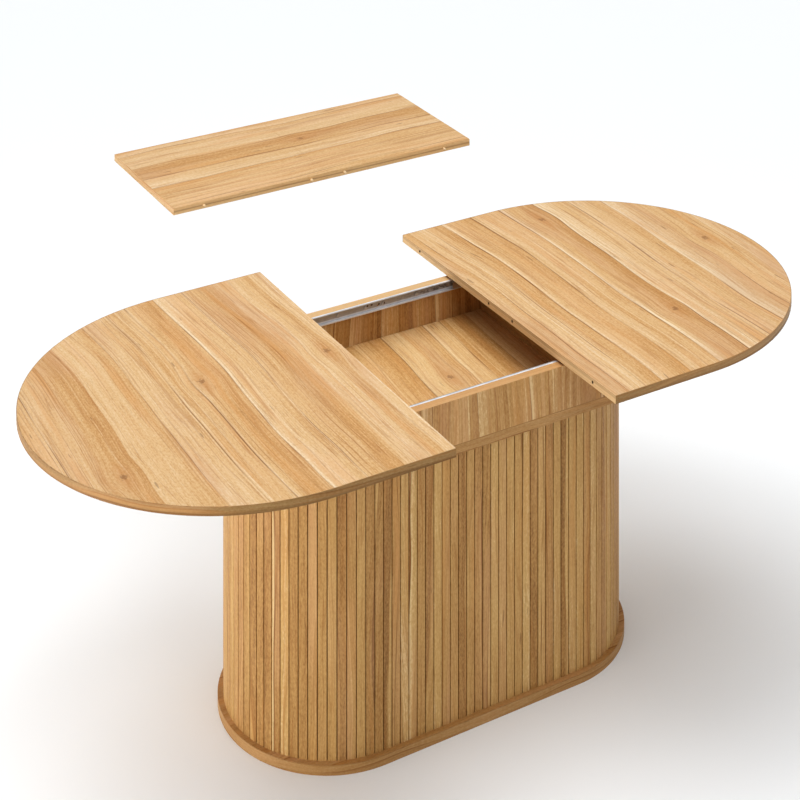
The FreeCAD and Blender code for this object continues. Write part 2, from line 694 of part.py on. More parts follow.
# Leaf: two panels that meet at a seam, hinged under it, so that their undersides fold together.
# Dowels stand out of the front edge, and the back edge has sockets for the left top's dowels.
# The hinges are let into the underside; the left plates carry the two outer knuckles and the pin.
seam_tools = {"left": [], "right": []}
plates = {"left": [], "right": []}
hinge_screws = {"left": [], "right": []}
pins = []
for spot, share in enumerate(HINGE_PLACE_SHARES):
    front = f"leaf_y + {share} * leaf_width - hinge_length / 2"
    step = "knuckle_length + knuckle_gap"
    knuckles = {"left": (0, 2), "right": (1,)}
    pins.append(rod(f"hinge_{spot}_pin", "y", "pin_radius", "hinge_length", "leaf_x", front, "fold_axis"))
    for name, hand in HANDS.items():
        piece = f"leaf_{name}_hinge_{spot}"
        near = hand_start(hand, "knuckle_pocket", "hinge_plate_width - knuckle_pocket")
        solids = [block(
            piece + "_plate", f"leaf_x + {near}", front, "leaf_low",
            "hinge_plate_width - knuckle_pocket", "hinge_length", "hinge_gauge",
        )]
        bores = []
        for knuckle in knuckles[name]:
            start = f"{front} + {knuckle} * ({step})"
            root = "leaf_x" if hand > 0 else "leaf_x - knuckle_pocket"
            solids.append(block(
                f"{piece}_root_{knuckle}", root, start, "leaf_low",
                "knuckle_pocket", "knuckle_length", "hinge_gauge",
            ))
            solids.append(rod(
                f"{piece}_knuckle_{knuckle}", "y", "knuckle_radius", "knuckle_length",
                "leaf_x", start, "fold_axis",
            ))
            bores.append(rod(
                f"{piece}_bore_{knuckle}", "y", "pin_radius + pin_play", "knuckle_length",
                "leaf_x", start, "fold_axis",
            ))
        for count, across in enumerate(HINGE_SCREW_SHARES):
            x = f"leaf_x + {hand} * (hinge_plate_width + knuckle_pocket) / 2"
            y = f"leaf_y + {share} * leaf_width + {across} * hinge_length"
            bores.append(rod(
                f"{piece}_screw_hole_{count}", "z", "hinge_screw_head_radius + hinge_fit", "hinge_gauge",
                x, y, "leaf_low",
            ))
            head = rod(
                f"{piece}_screw_head_{count}", "z", "hinge_screw_head_radius", "hinge_gauge",
                x, y, "leaf_low",
            )
            stem = rod(
                f"{piece}_screw_stem_{count}", "z", "hinge_screw_radius", "hinge_screw_bite",
                x, y, "leaf_low + hinge_gauge",
            )
            hinge_screws[name].append(join(f"{piece}_screw_{count}", [head, stem]))
        plates[name].append(cut(piece, join(piece + "_whole", solids), group(piece + "_bores", bores)))
        pocket = hand_start(hand, "leaf_seam / 2", "hinge_plate_width + hinge_fit - leaf_seam / 2")
        seam_tools[name].append(join(f"{piece}_mortise", [
            block(
                piece + "_pocket", f"leaf_x + {pocket}", f"{front} - hinge_fit", "leaf_low",
                "hinge_plate_width + hinge_fit - leaf_seam / 2", "hinge_length + 2 * hinge_fit",
                "hinge_gauge",
            ),
            rod(
                piece + "_relief", "y", "knuckle_pocket", "hinge_length + 2 * hinge_fit",
                "leaf_x", f"{front} - hinge_fit", "fold_axis",
            ),
        ]))
node("leaf_hinge_pins", group("leaf_hinge_pins", pins))

for name, hand in HANDS.items():
    near = hand_start(hand, "leaf_seam / 2", "leaf_half")
    board = block(
        f"leaf_{name}_blank", f"leaf_x + {near}", "leaf_front", "leaf_low",
        "leaf_half", "leaf_width", "top_thick",
    )
    tools = list(seam_tools[name])
    pegs = []
    for count, share in enumerate(DOWEL_PLACES):
        if share.startswith("-") != (hand < 0):
            continue
        x = f"leaf_x + {share} * top_width"
        tools.append(rod(
            f"leaf_{name}_dowel_hole_{count}", "y", "dowel_radius + dowel_fit", "dowel_depth + dowel_fit",
            x, "leaf_front", "leaf_middle",
        ))
        tools.append(rod(
            f"leaf_{name}_socket_{count}", "y", "dowel_radius + socket_fit", "dowel_stick_out + socket_spare",
            x, "leaf_back - dowel_stick_out - socket_spare", "leaf_middle",
        ))
        pegs.append(dowel(
            f"leaf_{name}_dowel_{count}", "y", True, x, "leaf_front - dowel_stick_out", "leaf_middle",
        ))
    node(f"leaf_{name}_panel", cut(f"leaf_{name}_panel", board, group(f"leaf_{name}_cuts", tools)))
    node(f"leaf_{name}_dowels", group(f"leaf_{name}_dowels", pegs))
    node(f"leaf_{name}_hinge_plates", group(f"leaf_{name}_hinge_plates", plates[name]))
    node(f"leaf_{name}_hinge_screws", group(f"leaf_{name}_hinge_screws", hinge_screws[name]))

doc.recompute()
for thing in doc.Objects:
    faults = [state for state in thing.State if state in ("Invalid", "Error")]
    if faults:
        raise RuntimeError(f"{thing.Label} failed: {faults}")
for piece in nodes:
    if piece.Shape.isNull() or not piece.Shape.isValid() or not piece.Shape.Solids:
        raise RuntimeError(f"{piece.Label} has no valid solid")

os.makedirs("parts", exist_ok=True)
for piece in nodes:
    piece.Shape.exportStep(f"parts/{piece.Label}.step")
    print(piece.Label, len(piece.Shape.Solids), round(piece.Shape.Volume))
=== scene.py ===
import math

import bpy
import numpy as np
from mathutils import Matrix, Vector


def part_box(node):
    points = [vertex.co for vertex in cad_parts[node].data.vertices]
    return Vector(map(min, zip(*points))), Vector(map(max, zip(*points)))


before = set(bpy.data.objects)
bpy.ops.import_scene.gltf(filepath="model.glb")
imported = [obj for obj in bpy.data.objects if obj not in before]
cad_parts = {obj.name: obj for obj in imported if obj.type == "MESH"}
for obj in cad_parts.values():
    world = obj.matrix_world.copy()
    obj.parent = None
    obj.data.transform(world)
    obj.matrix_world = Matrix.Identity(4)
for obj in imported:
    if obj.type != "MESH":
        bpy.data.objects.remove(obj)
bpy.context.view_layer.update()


# Plinth and top plate
# Two stadiums of honey-coloured veneered board: the table stands on one, and the other lies on the slats and
# carries the box. Each is cut from one sheet and its edge is covered with a strip of the same wood, so the
# grain there runs round the outline.


class Tone:
    """A value, colour or vector that changes over a finish: one output of one of its nodes.
    Sums, differences, products, quotients and comparisons of values add Math nodes."""

    def __init__(self, tree, socket=None):
        self.tree = tree
        self.socket = socket

    def node(self, kind, settings=None, sockets=None, out=0):
        """Adds one node: its settings come first, a ramp's stops among them, then the values or links of its
        sockets. Returns the tone of one output."""
        made = self.tree.nodes.new("ShaderNode" + kind)
        for name, setting in (settings or {}).items():
            if name == "stops":
                ramp = made.color_ramp
                while len(ramp.elements) < len(setting):
                    ramp.elements.new(1.0)
                for element, (place, tint) in zip(ramp.elements, setting):
                    element.position = place
                    element.color = tint
            else:
                setattr(made, name, setting)
        for name, value in (sockets or {}).items():
            if isinstance(value, Tone):
                self.tree.links.new(value.socket, made.inputs[name])
            else:
                made.inputs[name].default_value = value
        return Tone(self.tree, made.outputs[out])

    def maths(self, operation, *values):
        return self.node("Math", {"operation": operation}, dict(enumerate(values)))

    def __add__(self, other):
        return self.maths("ADD", self, other)

    __radd__ = __add__

    def __sub__(self, other):
        return self.maths("SUBTRACT", self, other)

    def __rsub__(self, other):
        return self.maths("SUBTRACT", other, self)

    def __mul__(self, other):
        return self.maths("MULTIPLY", self, other)

    __rmul__ = __mul__

    def __truediv__(self, other):
        return self.maths("DIVIDE", self, other)

    def __rtruediv__(self, other):
        return self.maths("DIVIDE", other, self)

    def __gt__(self, other):
        return self.maths("GREATER_THAN", self, other)

    def __lt__(self, other):
        return self.maths("LESS_THAN", self, other)

    def __abs__(self):
        return self.maths("ABSOLUTE", self)

    def root(self):
        return self.maths("SQRT", self)

    def whole(self):
        """The whole number at or below this value."""
        return self.maths("FLOOR", self)

    def fade(self, start, end):
        """0 at start, 1 at end and a smooth step between, also where end is the lower of the two."""
        return self.node("MapRange", {"interpolation_type": "SMOOTHSTEP"}, {0: self, 1: start, 2: end})

    def tinted(self, stops):
        """The colour that a ramp gives this value."""
        return self.node("ValToRGB", {"stops": stops}, {0: self})

    def mixed(self, other, amount):
        """This colour, mixed with another by an amount from 0 to 1."""
        return self.node("Mix", {"data_type": "RGBA"}, {0: amount, 6: self, 7: other}, out=2)


def chart(red, green, blue):
    """A colour as a paint chart gives it, 0 to 255 a channel, in the linear light that shaders work in."""
    share = np.array([red, green, blue]) / 255
    linear = np.where(share <= 0.04045, share / 12.92, ((share + 0.055) / 1.055) ** 2.4)
    return (*linear, 1.0)


def new_finish(name, specular):
    """An empty finish, with its shader and the x, y and z of the piece's own frame in metres."""
    finish = bpy.data.materials.new(name)
    finish.use_nodes = True
    tree = finish.node_tree
    shader = tree.nodes["Principled BSDF"]
    shader.inputs["Specular IOR Level"].default_value = specular
    place = Tone(tree).node("TexCoord", out="Object")
    x, y, z = (place.node("SeparateXYZ", None, {0: place}, out=axis) for axis in range(3))
    return finish, shader, x, y, z


def coat(finish, shader, hue, roughness, relief, strength, depth):
    """Feeds a finish with its colour, its roughness and a relief of some metres' depth."""
    bump = relief.node("Bump", None, {"Strength": strength, "Distance": depth, "Height": relief})
    for socket, tone in (("Base Color", hue), ("Roughness", roughness), ("Normal", bump)):
        finish.node_tree.links.new(tone.socket, shader.inputs[socket])


def streaks(across, along, across_rate, along_rate, detail, seed):
    """Noise from 0 to 1 that is drawn out along the grain, with its rates in waves a metre."""
    place = across.node("CombineXYZ", None, {0: across * across_rate, 1: along * along_rate, 2: seed})
    return place.node("TexNoise", None, {"Vector": place, "Scale": 1.0, "Detail": detail, "Roughness": 0.6})


def growth(path, width, seed):
    """Growth bands of uneven width side by side: the cells of a one-way Voronoi pattern. Gives three chance
    values of each band, from 0 to 1, the place in the band from about -0.5 to 0.5, and the metres to the line
    where two bands meet."""
    cell = {"W": path / width + seed, "Scale": 1.0}
    band = path.node("TexVoronoi", {"voronoi_dimensions": "1D"}, cell, out="Color")
    chances = [band.node("SeparateColor", None, {0: band}, out=channel) for channel in range(3)]
    place = cell["W"] - Tone(path.tree, band.socket.node.outputs["W"])
    edge = path.node("TexVoronoi", {"voronoi_dimensions": "1D", "feature": "DISTANCE_TO_EDGE"}, cell)
    return chances, place, edge * width


# A knot's eye, the grain pushed aside by it and its halo are slimmer than long by these shares.
KNOT_SLIM_SHARES = (1.2, 1.5, 3.4)
EYE_RAGGED = 0.03
# An edge or a limit is two distances, at which a mark begins and at which it is full.
EYE_EDGE = (0.012, 0.004)
EYE_LIMIT = (0.022, 0.012)
PUSH_REACH = 0.10
PUSH_SHARE = 0.4
HALO_EDGE = (0.09, 0.01)


def knot_field(across, along, places):
    """Knots at places given across and along the grain: the ragged dark eye of each, the brown wood drawn out
    round it, and how far the grain near it is pushed aside."""
    ragged = (streaks(across, along, 210, 150, 2.0, 0.0) - 0.5) * EYE_RAGGED
    eye = halo = push = 0.0
    for across_place, along_place in places:
        aside = across - across_place
        on = along - along_place
        slims = [aside * share for share in KNOT_SLIM_SHARES]
        eye_reach, push_reach, halo_reach = ((slim * slim + on * on).root() for slim in slims)
        eye = eye + (eye_reach + ragged).fade(*EYE_EDGE) * eye_reach.fade(*EYE_LIMIT)
        push = push - aside * push_reach.fade(PUSH_REACH, 0.0) * PUSH_SHARE
        halo = halo + halo_reach.fade(*HALO_EDGE)
    return eye, halo, push


# The grain's bends: waves a metre across and along it, and the metres by which each pushes it aside.
BENDS = ((1.1, 0.9, 0.06), (2.6, 2.2, 0.038), (5.0, 5.5, 0.012))
LINE_EDGE = (0.0024, 0.0008)
RING_LINE_EDGE = (0.0019, 0.0006)
CREAM_EDGE = (0.0100, 0.0040)
RING_CREAM_EDGE = (0.0042, 0.0020)
RING_SHARE = 0.22
# How far a separate stick's own tone shifts its wood, and over how many seeds it spreads the grain.
STICK_SHARE = 0.42
STICK_SEEDS = 31
VENEER_RELIEF = 0.0004
RED_WOOD = chart(212, 160, 114)
MAUVE_WOOD = chart(180, 136, 96)
AMBER_WOOD = chart(198, 138, 72)
THREAD_BROWN = chart(156, 100, 44)
LINE_BROWN = chart(124, 74, 28)
PORE_BROWN = chart(136, 86, 42)
FLECK_BROWN = chart(104, 64, 30)
HALO_BROWN = chart(180, 122, 66)
EYE_BROWN = chart(110, 70, 36)


def veneer(
    name, lay, stops, board, seed, contrast=1.0, mauve_share=0.4, knots=(), own_board=None, marks=None
):
    """Sliced wood: growth bands that wander as they run, each deepening towards a crisp dark line with a
    cream stripe behind it, and on them finer rings, streaks, speckles, pores, short dark flecks and the knots
    that the grain flows round. lay gives the metres across and along the grain from x, y and z, and board is
    the mean width of a band. own_board, where it is given, is the tone of each separate stick, which then has
    grain of its own, and marks gives places with the colour painted over them: stains, paler strips, glue
    lines and painted shade."""
    finish, shader, x, y, z = new_finish(name, specular=0.2)
    across, along = lay(x, y, z)
    stick = own_board(x, y, z) if own_board else 0.5
    own_seed = stick * STICK_SEEDS + seed if own_board else seed
    path = across
    for across_rate, along_rate, reach in BENDS:
        path = path + (streaks(across, along, across_rate, along_rate, 0.0, own_seed) - 0.5) * reach
    if knots:
        eye, halo, push = knot_field(across, along, knots)
        path = path + push
    (tone, drawn, warm), place, edge = growth(path, board, own_seed)
    ring = board * RING_SHARE
    (ring_tone, ring_drawn, ring_warm), ring_place, ring_edge = growth(path, ring, own_seed + 7.7)
    patch = streaks(path, along, 9, 1.7, 2.0, own_seed)
    broken = streaks(path, along, 6, 4.3, 1.0, own_seed + 1.9).fade(0.36, 0.62)
    fine = streaks(path, along, 120, 2.2, 3.0, own_seed)
    hatch = streaks(path, along, 280, 12.0, 2.0, own_seed)
    speckle = streaks(path, along, 320, 130, 1.0, own_seed + 2.7)
    amber = streaks(path, along, 38, 1.3, 1.0, own_seed + 9.1).fade(0.55, 0.72)
    thread = abs(streaks(path, along, 85, 1.5, 1.0, own_seed + 5.1) - 0.5).fade(0.035, 0.008)
    pores = streaks(path, along, 420, 34, 1.0, own_seed).fade(0.60, 0.70)
    fleck = streaks(path, along, 150, 17, 0.0, own_seed + 3.3).fade(0.83, 0.88)
    line = edge.fade(*LINE_EDGE) * drawn.fade(0.2, 0.6) * (0.25 + broken * 0.75)
    ring_line = ring_edge.fade(*RING_LINE_EDGE) * ring_drawn.fade(0.50, 0.85) * broken
    cream = edge.fade(*CREAM_EDGE) * place.fade(0.0, -0.10) * drawn.fade(0.45, 0.8)
    ring_pale = ring_place.fade(0.0, -0.10) * ring_tone.fade(0.66, 0.86)
    ring_cream = ring_edge.fade(*RING_CREAM_EDGE) * ring_pale
    pale = place.fade(-0.05, -0.40) * drawn * 0.28
    deep = place.fade(0.05, 0.46) * warm * 0.26
    mauve = warm.fade(0.55, 0.8) * patch.fade(0.45, 0.65)
    body = (tone - 0.5) * 0.26 + (stick - 0.5) * STICK_SHARE + (ring_tone - 0.5) * 0.16 + pale - deep
    grain = (patch - 0.5) * 0.36 + (fine - 0.5) * 0.45 + (hatch - 0.5) * (0.5 + mauve * 0.5)
    level = 0.51 + contrast * (body + cream * 0.22 + ring_cream * 0.18) + grain + (speckle - 0.5) * 0.65
    hue = level.tinted(stops)
    hue = hue.mixed(RED_WOOD, ring_warm * patch.fade(0.45, 0.65) * 0.35)
    hue = hue.mixed(MAUVE_WOOD, mauve * mauve_share)
    hue = hue.mixed(AMBER_WOOD, amber * 0.38)
    hue = hue.mixed(THREAD_BROWN, thread * 0.35 + ring_line * 0.6)
    hue = hue.mixed(LINE_BROWN, line * 0.85)
    hue = hue.mixed(PORE_BROWN, pores * 0.18)
    hue = hue.mixed(FLECK_BROWN, fleck * 0.5)
    if knots:
        hue = hue.mixed(HALO_BROWN, halo * 0.45)
        hue = hue.mixed(EYE_BROWN, eye * 0.55)
    for mark, stain in marks(x, y, z) if marks else ():
        hue = hue.mixed(stain, mark)
    roughness = 0.46 + fine * 0.12 + pores * 0.12
    relief = fine * 0.4 + hatch * 0.4 - pores * 0.7 - line * 1.2
    coat(finish, shader, hue, roughness, relief, strength=0.35, depth=VENEER_RELIEF)
    return finish


def dress(finish, *names):
    """Gives CAD nodes their finish."""
    for name in names:
        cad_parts[name].material_slots[0].material = finish


# What lies nearer to a face than this is on it.
SKIN = 0.0002


def board_faces(name):
    """The heights of a level board's two faces."""
    low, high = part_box(name)
    return low.z, high.z


def banded_lay(name):
    """How grain lies on a board with a banded edge: along x on its two flat faces, and on the edge, which is
    every height between them, along the edge."""
    low, high = board_faces(name)

    def lay(x, y, z):
        flat = (z > high - SKIN) + (z < low + SKIN)
        edge_along = abs(x) - abs(y)
        return z + flat * (y - z), edge_along + flat * (x - edge_along)

    return lay


PLATE_TONES = (
    (0.00, chart(128, 85, 41)),
    (0.30, chart(160, 114, 61)),
    (0.60, chart(174, 131, 78)),
    (1.00, chart(192, 154, 102)),
)
# Brown for glue lines, and for the painted shade along a band's upper arris.
GLUE_AND_SHADE_BROWN = chart(128, 86, 42)
PLATE_GLUE_DEPTH = 0.0018


def plate_glue_line(name):
    """A thin dark glue line under the upper arris of a plate's banded edge."""
    face = board_faces(name)[1]
    return lambda x, y, z: [((z > face - PLATE_GLUE_DEPTH) * (z < face - SKIN) * 0.55, GLUE_AND_SHADE_BROWN)]


for order, plate in enumerate(("plinth", "top_plate")):
    plate_wood = veneer(
        plate + "_veneer",
        banded_lay(plate),
        PLATE_TONES,
        board=0.05,
        seed=6.3 + order,
        contrast=0.5,
        mauve_share=0.15,
        marks=plate_glue_line(plate),
    )
    dress(plate_wood, plate)


# Cores, ribs and battens
# Raw board that the slats are glued to, and the strips and cross boards inside the pedestal. The grooves
# between the slats show a line of the cores, stained brown so that no pale board shines through.

PULP_RATE = 900
STAIN_RATE = 9
PULP_RELIEF = 0.0003


def clouds(x, y, z, rate, detail):
    """Noise from 0 to 1 that is alike in all directions, with its rate in waves a unit of x, y and z."""
    place = x.node("CombineXYZ", None, {0: x, 1: y, 2: z})
    return place.node("TexNoise", None, {"Vector": place, "Scale": rate, "Detail": detail})


def raw_board(name, stops):
    """Pressed board: flecks of wood pulp with a cloudy stain over them."""
    finish, shader, x, y, z = new_finish(name, specular=0.2)
    pulp = clouds(x, y, z, PULP_RATE, 3.0)
    stain = clouds(x, y, z, STAIN_RATE, 2.0)
    hue = (pulp * 0.6 + stain * 0.4).tinted(stops)
    coat(finish, shader, hue, 0.72 + pulp * 0.2, pulp, strength=0.3, depth=PULP_RELIEF)
    return finish


stained = raw_board("stained_core", ((0.3, chart(112, 74, 40)), (0.7, chart(142, 98, 56))))
dress(stained, "front_core", "back_core", "left_end_core", "right_end_core")
bare = raw_board("bare_board", ((0.3, chart(176, 142, 100)), (0.7, chart(206, 174, 130))))
dress(bare, "left_rib", "right_rib", "base_battens", "head_battens")


# Slats
# Flat sticks with eased corners, glued upright on the cores with a narrow groove between them. Each is cut
# from another board, so its tone is its own and its grain stops at its edges.

HANDS = ("left", "right")
SLATS_A_SIDE = 24
SLATS_AN_END = 36
SLAT_TURN = math.pi / SLATS_AN_END
SLAT_TONES = (
    (0.00, chart(134, 92, 46)),
    (0.25, chart(168, 122, 66)),
    (0.45, chart(186, 142, 82)),
    (0.65, chart(196, 154, 92)),
    (0.85, chart(206, 166, 104)),
    (1.00, chart(222, 190, 134)),
)


def slat_wood(name, lay, seed, number):
    """Wood for a row of slats, whose places in the row are whole numbers and give each slat its tone."""

    def slat_tone(x, y, z):
        place = number(x, y).whole()
        return place.node("TexWhiteNoise", {"noise_dimensions": "1D"}, {"W": place})

    return veneer(name, lay, SLAT_TONES, board=0.085, seed=seed, mauve_share=0.15, own_board=slat_tone)


for order, side in enumerate(("front", "back")):
    low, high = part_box(side + "_slats")
    pitch = (high.x - low.x) / SLATS_A_SIDE
    side_wood = slat_wood(
        side + "_slat_wood",
        lambda x, y, z: (x, z),
        seed=5.3 + order,
        number=lambda x, y: (x - low.x) / pitch + 100 * order,
    )
    dress(side_wood, side + "_slats")

for order, hand in enumerate(HANDS):
    low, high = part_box(hand + "_end_slats")
    radius = (high.y - low.y) / 2
    middle = low.x + radius if hand == "left" else high.x - radius

    def angle(x, y):
        return y.maths("ARCTAN2", y, abs(x - middle))

    end_wood = slat_wood(
        hand + "_end_slat_wood",
        lambda x, y, z: (angle(x, y) * radius, z),
        seed=8.9 + order,
        number=lambda x, y: angle(x, y) / SLAT_TURN + 50 * order,
    )
    dress(end_wood, hand + "_end_slats")


# Storage box
# Two long aprons and two short end boards doweled into a box on the top plate, with a thin floor. The grain
# stands upright on the aprons, runs along their top edges and along the end boards, and crosses the floor
# from front to back.

WALL_TONES = (
    (0.00, chart(126, 84, 42)),
    (0.28, chart(166, 119, 64)),
    (0.55, chart(185, 140, 82)),
    (0.80, chart(200, 160, 104)),
    (1.00, chart(220, 188, 136)),
)
RIM_TONE = chart(226, 190, 140)
FRONT_RIM_TONE = chart(190, 142, 92)

for order, wall in enumerate(("front_apron", "back_apron", "left_end_board", "right_end_board")):
    wall_head = board_faces(wall)[1]
    rim_tone = FRONT_RIM_TONE if wall == "front_apron" else RIM_TONE

    def wall_lay(x, y, z):
        """Grain up the aprons and along their top edges, and level along the end boards."""
        if "end" in wall:
            return x + z, y
        rim = z > wall_head - SKIN
        return (x + y) - rim * x, z + rim * (x - z)

    wall_wood = veneer(
        wall + "_veneer",
        wall_lay,
        WALL_TONES,
        board=0.05,
        seed=11.7 + 2 * order,
        contrast=1.2,
        mauve_share=0.25,
        marks=lambda x, y, z: [((z > wall_head - SKIN) * 0.6, rim_tone)],
    )
    dress(wall_wood, wall)

BOX_FLOOR_TONES = (
    (0.00, chart(164, 110, 54)),
    (0.28, chart(190, 142, 82)),
    (0.52, chart(204, 163, 107)),
    (0.76, chart(212, 177, 126)),
    (1.00, chart(222, 195, 150)),
)
BOX_FLOOR_KNOTS = ((0.058, -0.011),)
box_floor_wood = veneer(
    "box_floor_veneer",
    lambda x, y, z: (x, y),
    BOX_FLOOR_TONES,
    board=0.09,
    seed=2.07,
    contrast=0.85,
    knots=BOX_FLOOR_KNOTS,
)
dress(box_floor_wood, "box_floor")

BEECH = ((0.25, chart(206, 168, 120)), (0.55, chart(228, 198, 152)), (0.8, chart(240, 220, 182)))
BEECH_FLECK = chart(168, 122, 78)
BEECH_RELIEF = 0.0002


def beech(name, lay, seed):
    """Plain beech for dowels: straight pale grain with short dark flecks."""
    finish, shader, x, y, z = new_finish(name, specular=0.3)
    across, along = lay(x, y, z)
    grain = streaks(across, along, 500, 12, 2.0, seed)
    fleck = streaks(across, along, 1600, 220, 0.0, seed).fade(0.64, 0.72)
    hue = grain.tinted(BEECH).mixed(BEECH_FLECK, fleck * 0.4)
    coat(finish, shader, hue, 0.5 + grain * 0.15, grain, strength=0.3, depth=BEECH_RELIEF)
    return finish


dress(beech("upright_dowel_beech", lambda x, y, z: (x + y, z), seed=2.0), "apron_dowels")
dress(beech("level_dowel_beech", lambda x, y, z: (x + z, y), seed=4.0), "corner_dowels")


# Slides
# Roll-formed steel channels, zinc plated, screwed to the insides of the aprons. In each half runs a ball
# cage and a narrower runner, riveted to the angle brackets that carry the tops.

BLOOM_RATE = 55
PLATING_RELIEF = 0.0001


def plated(name, stops, lay, rough, drawn=240.0, metal=1.0, marks=None):
    """Plated steel: fine lines drawn along the length, and a cloudy bloom in the plating. marks gives places
    with the colour painted over them: painted shade and painted slots."""
    finish, shader, x, y, z = new_finish(name, specular=0.5)
    shader.inputs["Metallic"].default_value = metal
    across, along = lay(x, y, z)
    lines = streaks(across, along, drawn * 6, drawn / 20, 2.0, 1.0)
    bloom = clouds(x, y, z, BLOOM_RATE, 3.0)
    hue = (lines * 0.45 + bloom * 0.55).tinted(stops)
    for mark, stain in marks(x, y, z) if marks else ():
        hue = hue.mixed(stain, mark)
    roughness = rough + (bloom - 0.5) * 0.25 + lines * 0.08
    coat(finish, shader, hue, roughness, lines, strength=0.15, depth=PLATING_RELIEF)
    return finish


def drawn_along_x(x, y, z):
    return y + z, x


low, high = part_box("back_slide_channel")
SLIDE_FOOT = low.z
SLIDE_HEAD = high.z
SLIDE_INNER = low.y
SLOT_PLACES = ((-0.0270, 0.0150), (-0.0150, 0.0150), (0.0045, 0.0125), (0.0185, 0.0125))
SLOT_HALF_LENGTH = 0.0026
SLOT_HALF_HEIGHT = 0.0022
# The painted slots' dark brown: the apron's wood behind them, in painted shade.
SLOT_SHADE_BROWN = chart(72, 48, 36)


def slot_marks(x, y, z):
    """The small slots in the middle of the web, where the stops are pressed out, painted dark brown: the
    apron's wood seen behind them, in painted shade.
    """
    slots = 0.0
    for along, up in SLOT_PLACES:
        aside = (x - along) / SLOT_HALF_LENGTH
        above = (z - SLIDE_FOOT - up) / SLOT_HALF_HEIGHT
        slots = slots + (aside * aside + above * above).fade(1.4, 0.7)
    return [(slots, SLOT_SHADE_BROWN)]


# Where the web's painted shade under the upper lip begins above the channel's foot and ends under its head,
# each with a soft edge.
WEB_SHADE_BEGINS = (0.0060, 0.0085)
WEB_SHADE_ENDS = (0.0002, 0.0010)
# How far in from its free edge the upper lip's top face is painted with shade.
LIP_SHADE_WIDTH = 0.0032
# Where the mottle on the web deepens towards each end, under the tops, as painted shade and a painted
# reflection of the dark box.
END_SHADE_RIGHT = (0.02, 0.20)
END_SHADE_LEFT = (-0.16, -0.22)
MOTTLE_RATE = 130
MOTTLE_RATE_UP = 320
# The grey of the painted shade on the web and the lip, and the dark of the mottle and of the painted shade at
# the ends.
WEB_SHADE_GREY = chart(142, 134, 128)
MOTTLE_AND_SHADE_DARK = chart(58, 54, 52)


def web_marks(x, y, z):
    """The web between the lips is painted darker as the shade under the upper lip, and is faintly mottled.
    Towards the ends, under the tops, the mottle deepens as painted shade and a painted reflection of the dark
    box. The upper lip's top face is painted with shade along its free edge."""
    above_foot = z - SLIDE_FOOT
    under_head = SLIDE_HEAD - z
    web = above_foot.fade(*WEB_SHADE_BEGINS) * under_head.fade(*WEB_SHADE_ENDS)
    lip_shade = (z > SLIDE_HEAD - SKIN) * abs(y).fade(SLIDE_INNER + LIP_SHADE_WIDTH, SLIDE_INNER + LIP_SHADE_WIDTH * 0.7)
    mottle = clouds(x * MOTTLE_RATE, y * MOTTLE_RATE, z * MOTTLE_RATE_UP, 1.0, 2.0).fade(0.40, 0.62)
    end_shade = x.fade(*END_SHADE_RIGHT) + x.fade(*END_SHADE_LEFT)
    stains = [(web * 0.75 + lip_shade * 0.7, WEB_SHADE_GREY), (web * mottle * (0.12 + end_shade * 0.6), MOTTLE_AND_SHADE_DARK)]
    return stains + slot_marks(x, y, z)


ZINC = ((0.3, chart(206, 208, 212)), (0.7, chart(238, 239, 242)))
DULL_ZINC = ((0.3, chart(128, 130, 136)), (0.7, chart(180, 182, 186)))
# The slide screws' zinc, painted darker to match the painted shade on the web that they sit in.
SCREW_SHADE_ZINC = ((0.3, chart(170, 162, 156)), (0.7, chart(196, 190, 184)))
POLISHED = ((0.3, chart(196, 198, 202)), (0.7, chart(226, 228, 232)))
channel_zinc = plated("channel_zinc", ZINC, drawn_along_x, rough=0.42, metal=0.5, marks=web_marks)
slide_screw_zinc = plated(
    "slide_screw_zinc", SCREW_SHADE_ZINC, drawn_along_x, rough=0.5, metal=0.3, marks=slot_marks
)
runner_zinc = plated("runner_zinc", ZINC, drawn_along_x, rough=0.3)
cage_zinc = plated("cage_zinc", DULL_ZINC, drawn_along_x, rough=0.42)
ball_chrome = plated("ball_chrome", POLISHED, drawn_along_x, rough=0.12)
bracket_zinc = plated("bracket_zinc", DULL_ZINC, drawn_along_x, rough=0.38)
screw_zinc = plated("screw_zinc", ZINC, lambda x, y, z: (x + y, z), rough=0.32, drawn=400.0)
dress(channel_zinc, "front_slide_channel", "back_slide_channel")
dress(slide_screw_zinc, "slide_screws")
dress(screw_zinc, "base_screws", "head_screws")
for hand in HANDS:
    dress(runner_zinc, hand + "_front_runner", hand + "_back_runner")
    dress(cage_zinc, hand + "_cages")
    dress(ball_chrome, hand + "_balls")
    dress(bracket_zinc, hand + "_brackets")
    dress(screw_zinc, hand + "_bracket_screws", hand + "_rivets")


# Tops
# Two D-shaped veneered panels, each on its pair of runners, with a thin band of wood round the curved edge
# and dowels or dowel holes in the straight one. The grain runs along the straight edge.

HONEY = (
    (0.00, chart(166, 114, 60)),
    (0.28, chart(192, 146, 90)),
    (0.52, chart(206, 168, 118)),
    (0.76, chart(215, 184, 142)),
    (1.00, chart(226, 205, 170)),
)
EDGE_TONE = chart(240, 200, 140)
EDGE_GLUE = (0.0085, 0.0070)
# The dark of the painted shade on the walls of the dowel bores.
BORE_SHADE = chart(60, 36, 18)
# The bores lie as far as this to either side of the middle of the edge.
BORE_PLACES = (0.05004, 0.36504)
BORE_RADIUS = 0.0033


